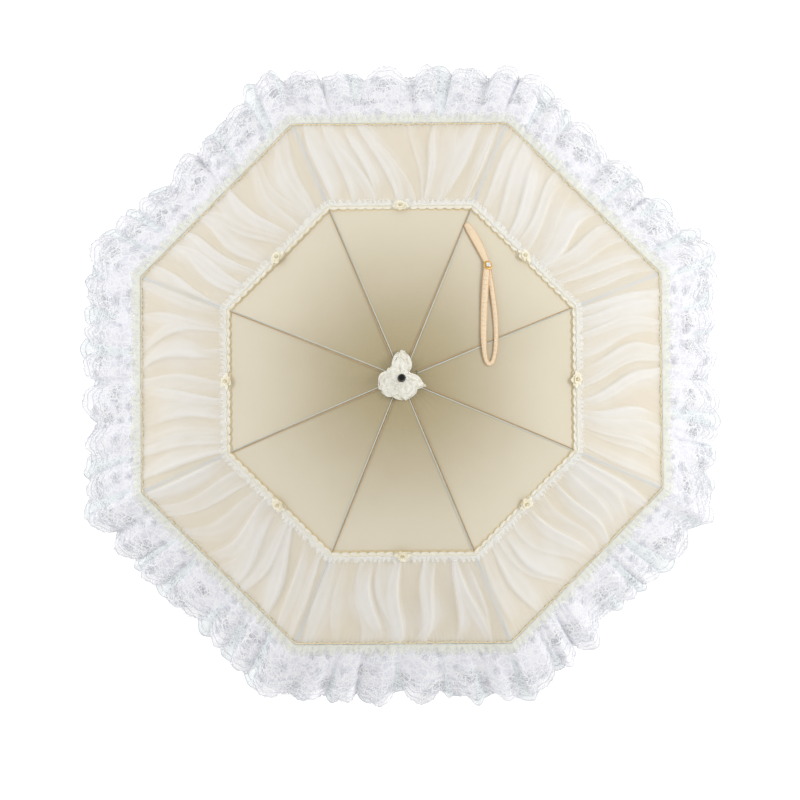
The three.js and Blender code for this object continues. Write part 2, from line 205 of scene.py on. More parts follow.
def satin_material(name, inner, outer, threads=900, roughness=0.42, sheen=0.25):
    """Satin whose colour goes from inner to outer with the attribute along; on the champagne satin this dark
    crown fading to a light rim is painted shade.
    """
    n = Nodes(name)
    mottle = n.noise(n.place(), 9, 3)
    along = n.plus(n.attribute("along"), n.times(n.minus(mottle, 0.5), 0.18))
    # painted shade along the gore: the inner colour at the crown, the outer towards the braid
    colour = n.mix(n.steps(along, 0.0, 1.0), inner, outer)
    slub = n.noise(n.scaled(n.uv(), (60, 1400, 1)), 1.0, 3)
    colour = n.mix(n.times(slub, 0.10), colour, (1, 0.98, 0.94, 1))
    crease = n.noise(n.scaled(n.uv(), (70, 9, 1)), 1.0, 3)
    height = n.plus(n.times(n.weave(threads), 0.25), crease)
    normal = n.bump(height, 0.35, 0.0009)
    return n.finish(
        Base_Color=colour, Roughness=roughness, Sheen_Weight=sheen, Sheen_Roughness=0.35,
        Specular_IOR_Level=0.35, Anisotropic=0.4, Normal=normal)


def sheer_material(name, thin, doubled, thin_cover, doubled_cover, ragged=0.0):
    """Chiffon: see-through where it lies single, and whiter and denser where the attribute fold is high."""
    n = Nodes(name)
    fold = n.plus(n.attribute("fold"), n.line(n.noise(n.place(), 90, 3), ragged, -0.5 * ragged))
    wisp = n.noise(n.scaled(n.uv(), (60, 9, 1)), 1.0, 4, 0.6)
    cloud = n.noise(n.place(), 14, 2)
    dense = n.plus(fold, n.times(n.minus(wisp, 0.5), 0.45))
    dense = n.steps(n.plus(dense, n.times(n.minus(cloud, 0.45), 0.6)), -0.15, 1.0)
    colour = n.mix(dense, thin, doubled)
    cover = n.line(dense, doubled_cover - thin_cover, thin_cover)
    normal = n.bump(n.plus(n.weave(1200), n.times(wisp, 2.0)), 0.25, 0.0006)
    return n.finish(
        Base_Color=colour, Roughness=0.6, Sheen_Weight=0.35, Sheen_Roughness=0.4, Specular_IOR_Level=0.2,
        Alpha=cover, Normal=normal)


def thread_material(name, colour, shade, scale=900, roughness=0.8):
    """Cotton or satin thread: fine twisted strands with a little variation."""
    n = Nodes(name)
    strands = n.noise(n.place(), scale, 4, 0.65)
    tint = n.noise(n.place(), 40, 2)
    mixed = n.mix(n.line(tint, 0.7, n.times(strands, 0.3)), shade, colour)
    normal = n.bump(strands, 0.4, 0.00012)
    return n.finish(
        Base_Color=mixed, Roughness=roughness, Sheen_Weight=0.3, Sheen_Roughness=0.4,
        Specular_IOR_Level=0.2, Normal=normal)


def lace_material(name, net_cover, bright, shade, open_shade):
    """Lace: a fine net with flowers, stems and wavy cords worked into it, and patches of bare net. The net's
    ground colour, a soft lavender cloud over it and the grey of the bare patches are painted shade.
    """
    n = Nodes(name)
    uv = n.uv()
    u, v = n.add("SeparateXYZ", {"Vector": uv}).outputs[:2]
    wobble = n.noise(uv, 55, 2)
    drift = n.add("CombineXYZ", {"X": n.times(wobble, 0.006), "Y": n.times(wobble, 0.008)})
    warped = n.add("VectorMath", {0: uv, 1: drift.outputs[0]}, operation="ADD").outputs[0]
    # flowers: petals round the middles of a loose grid of cells
    cells = n.cells(warped, 34, 0.75)
    centre = n.add("VectorMath", {0: warped, 1: cells["Position"]}, operation="SUBTRACT").outputs[0]
    cx, cy = n.add("SeparateXYZ", {"Vector": centre}).outputs[:2]
    angle = n.math("ARCTAN2", cy, cx)
    petal = n.line(n.math("COSINE", n.times(angle, 5.0)), 0.10, 0.26)
    distance = n.minus(cells["Distance"], petal)
    flower = n.inverse(n.steps(distance, -0.03, 0.05))
    rim = n.inverse(n.steps(n.math("ABSOLUTE", distance), 0.02, 0.06))
    veins = n.steps(n.math("SINE", n.times(angle, 10.0)), 0.2, 0.7)
    flower = n.most(n.times(flower, n.line(veins, 0.4, 0.45)), rim)
    # stems between the flowers, and fine threads everywhere
    stems = n.inverse(n.steps(n.borders(warped, 60, 1.0), 0.03, 0.09))
    hair_base = n.noise(n.scaled(warped, (150, 60, 1)), 1.0, 5, 0.7)
    hair = n.inverse(n.steps(n.math("ABSOLUTE", n.minus(hair_base, 0.5)), 0.01, 0.05))
    # the net
    mesh = n.inverse(n.steps(n.borders(uv, 260, 0.4), 0.05, 0.16))
    # cords parallel to the edge
    waved = n.line(n.math("SINE", n.times(u, 2 * pi / 0.0135)), 0.0022, v)
    cord = n.math("ABSOLUTE", n.math("SINE", n.times(waved, 300.0)))
    cord = n.inverse(n.steps(cord, 0.1, 0.3))
    cord = n.times(cord, n.steps(v, LACE_LENGTH * 0.45, LACE_LENGTH * 0.6))
    worked = n.most(n.most(flower, stems), n.most(cord, hair))
    # patches of bare net in the outer half, coloured grey with painted shade where the holes would show
    # shadow
    holes = n.cells(warped, 16, 0.9)["Distance"]
    ragged = n.line(n.minus(hair_base, 0.5), 0.5, holes)
    bare = n.inverse(n.steps(ragged, 0.14, 0.36))
    bare = n.times(bare, n.steps(v, LACE_LENGTH * 0.34, LACE_LENGTH * 0.5))
    closed = n.inverse(bare)
    haze = n.times(closed, n.inverse(n.steps(v, LACE_LENGTH * 0.5, LACE_LENGTH * 1.0)))
    cover = n.line(haze, 0.38, n.line(mesh, 0.35, net_cover))
    cover = n.most(worked, cover)
    # painted shade: a soft lavender-grey cloud standing for the shading of the ruffles
    cloud = n.steps(n.noise(n.scaled(n.place(), (1, 1, 0.3)), 17, 2), 0.35, 0.68)
    shade = n.mix(n.times(cloud, 0.40), shade, open_shade)
    # painted shade: the bare patches take the grey open_shade colour
    ground = n.mix(bare, shade, open_shade)
    # worked threads are bright; the net ground between them keeps the painted shade colour
    colour = n.mix(n.times(worked, 0.85), ground, bright)
    normal = n.bump(n.plus(worked, n.times(mesh, 0.3)), 0.5, 0.00035)
    return n.finish(
        Base_Color=colour, Roughness=0.8, Sheen_Weight=0.25, Specular_IOR_Level=0.15, Alpha=cover,
        Normal=normal)


def metal_material(name, colour, roughness, grain, dull=0.35):
    """Metal with a fine grain along the part and slightly duller patches."""
    n = Nodes(name)
    lines = n.noise(n.scaled(n.place(), grain), 1.0, 3)
    patches = n.noise(n.place(), 35, 3)
    tone = n.mix(n.times(patches, dull), colour, (0.28, 0.28, 0.29, 1))
    rough = n.line(lines, 0.22, roughness)
    return n.finish(
        Base_Color=tone, Metallic=1.0, Roughness=rough, Normal=n.bump(lines, 0.15, 0.0003))


def plastic_material(name, colour, roughness):
    n = Nodes(name)
    grain = n.noise(n.place(), 1200, 2)
    scuffs = n.noise(n.place(), 90, 5, 0.7)
    tone = n.mix(n.steps(scuffs, 0.55, 0.8), colour, (0.06, 0.06, 0.062, 1))
    rough = n.line(scuffs, 0.25, roughness)
    return n.finish(
        Base_Color=tone, Roughness=rough, Specular_IOR_Level=0.25, Normal=n.bump(grain, 0.12, 0.0002))


def wood_material(name, light, dark):
    """Varnished wood with its grain up the handle."""
    n = Nodes(name)
    bent = n.scaled(n.place(), (95, 95, 7))
    rings = n.noise(bent, 1.0, 5, 0.6)
    pores = n.noise(n.scaled(n.place(), (900, 900, 60)), 1.0, 2)
    tone = n.mix(n.steps(rings, 0.35, 0.65), light, dark)
    tone = n.mix(n.times(n.steps(pores, 0.6, 0.75), 0.4), tone, (0.10, 0.05, 0.02, 1))
    return n.finish(
        Base_Color=tone, Roughness=0.38, Coat_Weight=0.5, Coat_Roughness=0.12,
        Normal=n.bump(n.plus(rings, pores), 0.12, 0.0006))


def stone_material(name):
    n = Nodes(name)
    glint = n.noise(n.place(), 300, 2)
    colour = n.mix(glint, (1, 1, 1, 1), (0.86, 0.9, 0.96, 1))
    return n.finish(
        Base_Color=colour, Roughness=0.05, IOR=1.9, Transmission_Weight=0.25, Specular_IOR_Level=0.9)


# painted shade: the champagne satin is darker at the crown and lighter towards the braid
SATIN = satin_material("champagne satin", rgb(176, 160, 118), rgb(232, 222, 198))
LINING = satin_material("peach satin", rgb(252, 232, 198), rgb(250, 228, 190))
CHIFFON = sheer_material("off-white chiffon", rgb(250, 245, 230), rgb(254, 254, 251), 0.66, 0.80)
FRILL = sheer_material("sheer frill", rgb(253, 251, 242), rgb(255, 255, 250), 0.12, 0.85)
TRIM_FRILL = sheer_material("greenish sheer frill", rgb(240, 242, 226), rgb(247, 248, 236), 0.05, 0.85, 1.1)
# the shade and open_shade colours given to each lace material are painted shade
LACE_TOP = lace_material("white lace", 0.54, rgb(254, 254, 255), rgb(240, 240, 250), rgb(200, 201, 210))
LACE_UNDER = lace_material("lower lace", 0.5, rgb(246, 250, 251), rgb(230, 237, 240), rgb(208, 216, 221))
LACE_CORD = thread_material("lace cord", rgb(253, 253, 255), rgb(232, 235, 243), 1200)
BRAID_THREAD = thread_material("cream braid", rgb(253, 252, 244), rgb(244, 236, 214))
# warm ochre thread: the hem's stitching, and on the inner braid a painted shadow line
WARM_THREAD_AND_SHADOW = thread_material("warm thread and painted shadow", rgb(250, 232, 188), rgb(240, 216, 160))
ROSE_RIBBON = thread_material("ivory ribbon", rgb(255, 252, 238), rgb(250, 240, 210), 500, 0.45)
ROSETTE_LACE = lace_material("ivory lace", 0.8, rgb(255, 254, 246), rgb(240, 235, 216), rgb(222, 214, 190))
STRAP_SATIN = satin_material("peach ribbon", rgb(246, 218, 178), rgb(250, 226, 190), 1400, 0.28, 0.2)
STRAP_EDGE = thread_material("strap edge", rgb(240, 206, 164), rgb(226, 186, 142), 900, 0.6)
STITCH = thread_material("stitches", rgb(254, 246, 232), rgb(240, 224, 200), 1500, 0.7)
# painted shadow: the brown thread is the shaded side of each satin seam
SEAM_PAINTED_SHADOW = thread_material("brown seam", rgb(208, 182, 142), rgb(180, 152, 114), 900, 0.6)
SEAM_BLUE = thread_material("blue-grey seam", rgb(230, 233, 236), rgb(206, 211, 216), 900, 0.5)
# painted reflection: the light grey thread is the side of each satin seam that catches the light
SEAM_PAINTED_REFLECTION = thread_material("grey seam", rgb(224, 226, 216), rgb(198, 202, 192), 900, 0.5)
STEEL = metal_material("plated steel", rgb(200, 202, 206), 0.22, (500, 500, 12))
GOLD = metal_material("gold setting", rgb(246, 208, 128), 0.3, (300, 300, 300), 0.12)
BLACK = plastic_material("black plastic", (0.009, 0.009, 0.010, 1), 0.34)
WOOD = wood_material("varnished wood", rgb(201, 152, 100), rgb(150, 100, 58))
STONE = stone_material("clear stone")

# ---- The canopy's surface ----


def profile(arc):
    """Distance from the shaft, height and slope on a rib's line; past the hem, on the lace's line."""
    on_rib = np.minimum(arc, HEM)
    slope = START_SLOPE + on_rib / RIB_RADIUS
    r = PIVOT_R + RIB_RADIUS * (np.sin(slope) - sin(START_SLOPE))
    z = PIVOT_Z - RIB_RADIUS * (cos(START_SLOPE) - np.cos(slope))
    past = np.maximum(arc - HEM, 0)
    slope = np.where(arc > HEM, LACE_SLOPE, slope)
    return r + past * cos(LACE_SLOPE), z - past * sin(LACE_SLOPE), slope


def smooth(value, low=0.0, high=1.0):
    t = np.clip((value - low) / (high - low), 0, 1)
    return t * t * (3 - 2 * t)


def waves(turns):
    """A sine wave of one turn for each unit."""
    return np.sin(2 * pi * turns)


def hump(share):
    """0 at 0 and 1, and 1 halfway."""
    return np.sin(pi * share)


def canopy(rib, across, arc, lift, sideways=0.0):
    """Points over the canopy. across is 0 on the rib, and -0.5 and 0.5 on the middle lines of the panels
    beside it; arc is along the rib; lift is the height over the satin; sideways is along the panel's edge."""
    across, arc, lift = np.broadcast_arrays(*(np.asarray(value, float) for value in (across, arc, lift)))
    lift = lift + CLOTH_LIFT
    r, z, slope = profile(arc)
    here = FIRST + rib * SPACING
    side = np.where(across < 0, -1.0, 1.0)
    other = here + side * SPACING
    share = np.abs(across)
    x = r * ((1 - share) * cos(here) + share * np.cos(other))
    y = r * ((1 - share) * sin(here) + share * np.sin(other))
    facing = here + side * HALF * smooth(share, 0, 0.03)
    steep = np.tan(slope) / cos(HALF)
    size = np.sqrt(1 + steep**2)
    chord = here + side * HALF + pi / 2
    x = x + lift * steep / size * np.cos(facing) + sideways * np.cos(chord)
    y = y + lift * steep / size * np.sin(facing) + sideways * np.sin(chord)
    return np.stack([x, y, z + lift / size], axis=-1)


def panel_of(rib, across):
    """Which panel a point lies on, and how far across that panel it is, from 0 to 1."""
    panel = np.where(across < 0, rib - 1, rib) % RIBS
    return panel.astype(int), np.where(across < 0, 1 + across, across)


def panel_width(arc):
    return 2 * profile(np.asarray(arc, float))[0] * sin(HALF)


# ---- Meshes ----


def mesh_object(name, points, faces, material, uv=None, values=None):
    """A mesh from points, faces and per-point uv and values."""
    mesh = bpy.data.meshes.new(name)
    points = np.asarray(points, float).reshape(-1, 3).tolist()
    mesh.from_pydata(points, [], [list(map(int, face)) for face in faces])
    if uv is not None:
        layer = mesh.uv_layers.new(name="cloth")
        loops = np.empty(len(mesh.loops), dtype=np.int32)
        mesh.loops.foreach_get("vertex_index", loops)
        layer.data.foreach_set("uv", np.asarray(uv, float).reshape(-1, 2)[loops].ravel())
    for key, value in (values or {}).items():
        attribute = mesh.attributes.new(key, "FLOAT", "POINT")
        attribute.data.foreach_set("value", np.asarray(value, float).ravel())
    mesh.polygons.foreach_set("use_smooth", np.ones(len(mesh.polygons), dtype=bool))
    mesh.update()
    piece = bpy.data.objects.new(name, mesh)
    bpy.context.collection.objects.link(piece)
    mesh.materials.append(material)
    return piece


def grid_faces(rows, columns, start=0, closed=False):
    row, column = np.mgrid[0 : rows - 1, 0 : columns if closed else columns - 1]
    following = (column + 1) % columns
    corners = [row * columns + column, row * columns + following,
               (row + 1) * columns + following, (row + 1) * columns + column]
    return start + np.stack(corners, axis=-1).reshape(-1, 4)


def grid(name, points, material, uv=None, values=None):
    rows, columns = points.shape[:2]
    return mesh_object(name, points, grid_faces(rows, columns), material, uv, values)


class Parts:
    """Several small meshes that become one piece."""

    def __init__(self):
        self.points, self.faces, self.uvs, self.count = [], [], [], 0

    def add(self, points, faces, uv=None):
        points = np.asarray(points, float).reshape(-1, 3)
        self.points.append(points)
        self.faces.extend([i + self.count for i in face] for face in faces)
        self.uvs.append(np.zeros((len(points), 2)) if uv is None else np.asarray(uv, float).reshape(-1, 2))
        self.count += len(points)

    def skin(self, rings, uv=None, inside_out=False):
        """A skin round a row of rings, with both its ends closed."""
        count, around = rings.shape[:2]
        faces = grid_faces(count, around, closed=True).tolist()
        faces.append(list(range(around))[::-1])
        faces.append(list(range((count - 1) * around, count * around)))
        self.add(rings, [face[::-1] for face in faces] if inside_out else faces, uv)

    def tube(self, path, radius, sides=6):
        """A closed-ended tube along a path; radius may change along it."""
        path = np.asarray(path, float)
        radius = np.broadcast_to(radius, len(path))
        ahead = np.gradient(path, axis=0)
        ahead /= np.linalg.norm(ahead, axis=1, keepdims=True) + 1e-12
        up = np.array([0.0, 0.0, 1.0])
        if abs(ahead[0] @ up) > 0.95:
            up = np.array([1.0, 0.0, 0.0])
        across = np.cross(ahead, up)
        across /= np.linalg.norm(across, axis=1, keepdims=True) + 1e-12
        lift = np.cross(across, ahead)
        turn = np.arange(sides) / sides * 2 * pi
        turn = turn[None, :, None]
        ring = np.cos(turn) * across[:, None, :] + np.sin(turn) * lift[:, None, :]
        self.skin(path[:, None, :] + radius[:, None, None] * ring, inside_out=True)

    def make(self, name, material, values=None):
        return mesh_object(name, np.vstack(self.points), self.faces, material, np.vstack(self.uvs), values)


def on_canopy(piece, rib):
    """Rides on the rib, with a mesh of its own."""
    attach(piece, f"rib_{rib + 1}")
    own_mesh(piece)
    return piece


def frame_on(points):
    """A point and its directions across, down and up from the cloth; from it and neighbours on two sides."""
    e1 = points[1] - points[0]
    up = np.cross(e1, points[2] - points[0])
    up = up / np.linalg.norm(up)
    up = up if up[2] > 0 else -up
    e1 = e1 / np.linalg.norm(e1)
    return points[0], e1, np.cross(up, e1), up


def columns(count):
    return np.linspace(-0.5, 0.5, count)


def cloth_uv(arc, across, start=0.0):
    """The cloth's own coordinates in metres: round the canopy, and out from start."""
    width = panel_width(arc)
    return np.stack(np.broadcast_arrays(across * width, arc - start), axis=-1)


# ---- Satin gores and their seams ----

CREASE_COUNT = rng.uniform(4, 7, RIBS)
CREASE_TURN = rng.uniform(0, 6, RIBS)
SEAM_OFFSET = 0.0012
SEAM_HALF = 0.0008


def satin_lift(rib, across, arc):
    """Small creases: fanned out from the crown, and a slight dip into each seam."""
    panel, u = panel_of(rib, across)
    fan = np.cos(2 * pi * CREASE_COUNT[panel] * u + CREASE_TURN[panel])
    fan = fan * hump(u) * np.exp(-(arc - CROWN) / 0.07)
    loose = hump(u) * waves(arc / 0.19 + CREASE_TURN[panel])
    from_seam = np.abs(across) * panel_width(arc)
    return 0.00016 * fan + 0.0011 * loose - 0.0003 * np.exp(-((from_seam / 0.0045) ** 2))


def satin_gore(rib):
    across = columns(97)[None, :]
    arc = np.linspace(CROWN, BRAID + 0.003, 90)[:, None]
    points = canopy(rib, across, arc, satin_lift(rib, across, arc))
    along = np.broadcast_to(np.clip(arc / BRAID, 0, 1), points.shape[:2])
    piece = grid(f"satin_gore_{rib + 1}", points, SATIN, cloth_uv(arc, across, CROWN), {"along": along})
    on_canopy(piece, rib)
    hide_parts(f"canopy_gore_{rib + 1}")


def seam(rib, name, side, material, start, end, lift):
    """One side of the folded seam that lies along the rib, as a low rounded welt. On the satin, the brown
    side's colour is a painted shadow and the grey side's a painted reflection.
    """
    arc = np.linspace(start, end, 150)
    across = side * SEAM_OFFSET / panel_width(arc)
    parts = Parts()
    parts.tube(canopy(rib, across, arc, lift), SEAM_HALF, 6)
    return on_canopy(parts.make(f"{name}_{rib + 1}", material), rib)


# ---- The ruched band ----

BAND = HEM - BRAID


class Folds:
    """One panel's soft gathers: where each lies, how it wanders, how wide and how high it is."""

    def __init__(self):
        count = int(rng.integers(11, 14))
        self.place = (np.arange(count) + 0.5 + rng.uniform(-0.4, 0.4, count)) / count
        middle = hump(self.place) ** 0.5
        tilt, twist, turns = rng.uniform(0, 1), rng.uniform(0, 1), rng.uniform(0.7, 1.0)
        together = waves(0.9 * self.place + tilt)
        self.sway = (0.08 * together + rng.normal(0, 0.018, count)) * middle
        self.wander = rng.uniform(0.016, 0.042, count) * middle
        self.turns = turns + rng.uniform(-0.08, 0.08, count)
        self.phase = twist + 0.3 * self.place + rng.normal(0, 0.05, count)
        self.width = rng.uniform(0.06, 0.15, count)
        self.height = rng.uniform(0.25, 1.0, count)
        self.side = np.where(self.place + rng.normal(0, 0.3, count) < 0.5, 1.0, -1.0)
        self.begin = rng.uniform(-0.3, 0.2, count)
        self.stop = rng.uniform(0.8, 1.3, count)
        self.streaks = rng.uniform(1.2, 2.4, count)

    def at(self, u, v):
        """Height from 0 to about 1, and how doubled the cloth is."""
        high = np.zeros(np.broadcast(u, v).shape)
        doubled = np.zeros_like(high)
        for k in range(len(self.place)):
            centre = self.place[k] + self.sway[k] * (2 * v - 1)
            centre = centre + self.wander[k] * waves(v * self.turns[k] + self.phase[k])
            width = self.width[k] * (0.36 + 0.64 * hump(np.clip(v, 0, 1)) ** 0.8)
            x = (u - centre) / width * self.side[k]
            reach = smooth(v, self.begin[k] - 0.22, self.begin[k] + 0.22)
            reach = reach * (1 - smooth(v, self.stop[k] - 0.22, self.stop[k] + 0.22))
            streak = 0.07 * np.sin(2 * pi * self.streaks[k] * x + 3 * v)
            ridge = smooth(x, -0.2, 0.12) * np.exp(-(np.clip(x, 0, None) ** 1.5) / 0.55)
            ridge = ridge * (1 + streak) * self.height[k] * reach
            high = high + ridge * (1 - 0.4 * high)
            laid_over = smooth(x, -0.12, 0.06) * (1 - smooth(x, 0.0, 1.45)) * (1 + 2 * streak)
            doubled = np.maximum(doubled, laid_over * reach * (0.3 + 0.7 * self.height[k]))
        return high, doubled


FOLDS = [Folds() for _ in range(RIBS)]
PLEATS = 46  # fine gathers along a panel's stitched edges


def ruche(rib, across, arc):
    panel, u = panel_of(rib, across)
    v = (arc - BRAID) / BAND
    u, v = np.broadcast_arrays(u, v)
    panel = np.broadcast_to(panel, u.shape)
    high, doubled = np.zeros(u.shape), np.zeros(u.shape)
    for p in np.unique(panel):
        here = panel == p
        high[here], doubled[here] = FOLDS[p].at(u[here], v[here])
    # both sides of a rib meet in the same place
    near_rib = np.exp(-((np.minimum(u, 1 - u) / 0.012) ** 2))
    puff = hump(np.clip(v, 0, 1)) ** 0.6
    near_edge = np.exp(-np.minimum(v, 1 - v) * BAND / 0.012)
    pleat = waves(PLEATS * u + 0.6 * waves(3 * u))
    lift = 0.0016 + (0.0012 + 0.0058 * high * (1 - near_rib)) * puff * (1 - 0.5 * near_rib)
    lift = lift + 0.0004 * pleat * near_edge
    doubled = np.clip(doubled * (0.6 + 0.4 * puff) + 0.3 * near_edge * (0.8 + 0.2 * pleat), 0, 1)
    return lift, doubled * (1 - near_rib) + 0.25 * near_rib


def ruched_band(rib):
    across = columns(65)[None, :]
    arc = np.linspace(BRAID, HEM, 24)[:, None]
    points = canopy(rib, across, arc, 0)
    along = np.broadcast_to((arc - BRAID) / BAND, points.shape[:2])
    lining = grid(f"band_lining_{rib + 1}", points, LINING, cloth_uv(arc, across), {"along": along})
    on_canopy(lining, rib)

    across = columns(401)[None, :]
    arc = np.linspace(BRAID - 0.001, HEM + 0.001, 84)[:, None]
    lift, doubled = ruche(rib, across, arc)
    piece = grid(f"ruched_chiffon_{rib + 1}", canopy(rib, across, arc, lift), CHIFFON,
                 cloth_uv(arc, across, BRAID), {"fold": doubled})
    on_canopy(piece, rib)
    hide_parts(f"ruched_band_{rib + 1}")


# ---- Lace ----

SCALLOPS = 8  # on one panel's edge
RUFFLES = 6.5  # on one panel
LACE_WANDER = rng.uniform(-1, 1, (2, RIBS, 5))


def lace_points(layer, rib, across, out, raise_by=0.0):
    """A point on a lace layer; out is 0 at the hem and 1 at the scalloped edge."""
    across, out = np.broadcast_arrays(np.asarray(across, float), np.asarray(out, float))
    panel, u = panel_of(rib, across)
    uneven = sum(LACE_WANDER[layer][panel, k] * hump((k + 1) * u) for k in range(5))
    run = rib + across
    edge = np.abs(hump(SCALLOPS * run + (0.5 if layer else 0.0) + 0.05 * uneven)) ** 0.65
    west = 0.5 - 0.5 * np.cos(FIRST + run * SPACING)
    hang = 0.02 + 0.06 * west if layer else 0.0
    turn = 2 * pi * (RUFFLES * run + 0.22 * uneven) + (1.9 if layer else 0.0)
    length = LACE_LENGTH * (0.966 + 0.130 * edge + 0.045 * uneven + 0.050 * np.sin(turn) + hang)
    grow = np.clip(out, 0, 1.2) ** 0.85
    wave = (0.0072 + 0.0026 * uneven) * np.sin(turn) * grow
    wave = wave + 0.0026 * np.sin(2 * turn + 3 * uneven) * grow
    gathers = 0.0011 * np.sin(7 * turn + 2 * uneven) * np.exp(-out / 0.15)
    level = -0.0008 - 0.012 * out if layer else 0.0012 - 0.006 * out**2
    sideways = -0.0042 * np.cos(turn) * grow
    lift = level + wave + gathers + raise_by
    return canopy(rib, across, HEM + 0.0005 + out * length, lift, sideways), length


def lace_layer(layer, rib, trims=()):
    across = columns(257)[None, :]
    out = np.linspace(0, 1, 30)[:, None]
    points, length = lace_points(layer, rib, across, out)
    gathered = 1.25 * float(panel_width(HEM + LACE_LENGTH / 2))
    uv = np.stack(np.broadcast_arrays((rib + across) * gathered, out * length), axis=-1)
    name = "lace_upper" if layer == 0 else "lace_lower"
    piece = grid(f"{name}_{rib + 1}", points, LACE_UNDER if layer else LACE_TOP, uv)
    on_canopy(piece, rib)
    return piece


def lace_cords(rib):
    """Wavy cords along the lace's edge, and the small picot loops that finish it."""
    parts = Parts()
    across = columns(261)
    for row, out in enumerate((0.70, 0.81, 0.91, 0.985)):
        wavy = out + 0.014 * np.sin(2 * pi * SCALLOPS * 3 * across + 1.3 * row)
        points, _ = lace_points(0, rib, across, wavy, 0.0003)
        parts.tube(points, 0.00045, 4)
    for out in (0.90, 0.985):
        points, _ = lace_points(1, rib, across, out + 0 * across, 0.0005)
        parts.tube(points, 0.0005, 4)
    loops = 54
    for k in range(loops):
        middle = -0.5 + (k + 0.5) / loops
        turn = np.linspace(0, pi, 6)
        loop_across = middle - 0.42 / loops * np.cos(turn)
        points, _ = lace_points(0, rib, loop_across, 0.99 + 0.05 * np.sin(turn), 0.0004)
        parts.tube(points, 0.00055, 4)
    return on_canopy(parts.make(f"lace_cords_{rib + 1}", LACE_CORD), rib)


def lace_flowers(rib):
    """Raised flowers on the lace: one over each scallop, and two rows above them."""
    parts = Parts()
    petals = 5
    for k in range(SCALLOPS):
        for out, size, shift in ((0.80, 0.0085, 0.5), (0.46, 0.0095, 0.0), (0.22, 0.0065, 0.5)):
            across = -0.5 + (k + shift + 0.25 * sin(3 * k + 9 * out)) / SCALLOPS
            if not -0.48 < across < 0.48:
                continue
            centre, e1, e2, up = lace_frame(rib, across, out)
            for petal in range(petals):
                angle = 2 * pi * petal / petals + 0.7 * k
                turn = np.arange(8) / 8 * 2 * pi
                along = size * (0.62 + 0.38 * np.cos(turn))
                side = size * 0.30 * np.sin(turn)
                x = along * cos(angle) - side * sin(angle)
                y = along * sin(angle) + side * cos(angle)
                rim = centre + x[:, None] * e1 + y[:, None] * e2 + 0.0004 * up
                parts.tube(np.vstack([rim, rim[:1]]), 0.0005, 4)
            knot = centre + 0.0006 * up
            parts.tube(np.array([knot - 0.0014 * e1, knot, knot + 0.0014 * e1]), [0.0006, 0.0014, 0.0006], 6)
    return on_canopy(parts.make(f"lace_flowers_{rib + 1}", LACE_CORD), rib)


def lace_frame(rib, across, out):
    step = 0.004
    corners = np.array([across, across + step, across]), np.array([out, out, out + 3 * step])
    return frame_on(lace_points(0, rib, *corners)[0])


# ---- Trims ----

BRAID_SCALLOPS = 16  # on one panel
HEM_GATHERS = 30  # on one panel


def inner_braid(rib):
    """The scalloped braid where the satin meets the ruched band: a strip, a sheer frill and cords, and a warm
    ochre cord on the satin just inside it that is a painted shadow of the braid.
    """
    across = columns(321)
    _, u = panel_of(rib, across)
    scallop = np.abs(hump(BRAID_SCALLOPS * u)) ** 0.8
    t = np.linspace(0, 1, 9)[:, None]
    inner = BRAID - 0.0052 - 0.0030 * scallop
    arc = inner + t * (BRAID + 0.0005 - inner)
    lift = 0.0016 + 0.0012 * hump(t) + 0 * across
    lift = lift + 0.0007 * waves(BRAID_SCALLOPS * u)[None, :] * (1 - t)
    strip = grid(f"braid_strip_{rib + 1}", canopy(rib, across[None, :], arc, lift), BRAID_THREAD)

    outer = 0.0085 + 0.0016 * waves(7 * u) * hump(u) + 0.0014 * scallop
    frill_arc = BRAID - 0.001 + t * outer
    uneven = waves(BRAID_SCALLOPS * 1.5 * u + 0.6 * waves(3 * u))[None, :]
    ruffle = 0.0009 * uneven * t**1.2
    lift = 0.0034 + 0.0016 * t + ruffle
    points = canopy(rib, across[None, :], frill_arc, lift)
    fold = np.clip(0.95 - 0.75 * t + 0.2 * uneven * t, 0, 1)
    uv = cloth_uv(frill_arc, across[None, :])
    frill = grid(f"braid_frill_{rib + 1}", points, FRILL, uv, {"fold": fold})

    cords = Parts()
    cords.tube(canopy(rib, across, inner + 0.0004, 0.0022), 0.0009, 5)
    winding = BRAID - 0.0022 + 0.0009 * waves(BRAID_SCALLOPS * u)
    cords.tube(canopy(rib, across, winding, 0.0038), 0.0007, 5)
    # painted shadow: a warm ochre cord on the satin just inside the braid, in place of the braid's shadow
    shadow_cord = Parts()
    shadow_cord.tube(canopy(rib, across, inner - 0.0010, 0.0008), 0.0008, 5)
    pieces = [strip, frill, cords.make(f"braid_cords_{rib + 1}", BRAID_THREAD)]
    pieces.append(shadow_cord.make(f"braid_painted_shadow_{rib + 1}", WARM_THREAD_AND_SHADOW))
    for piece in pieces:
        on_canopy(piece, rib)
    return pieces


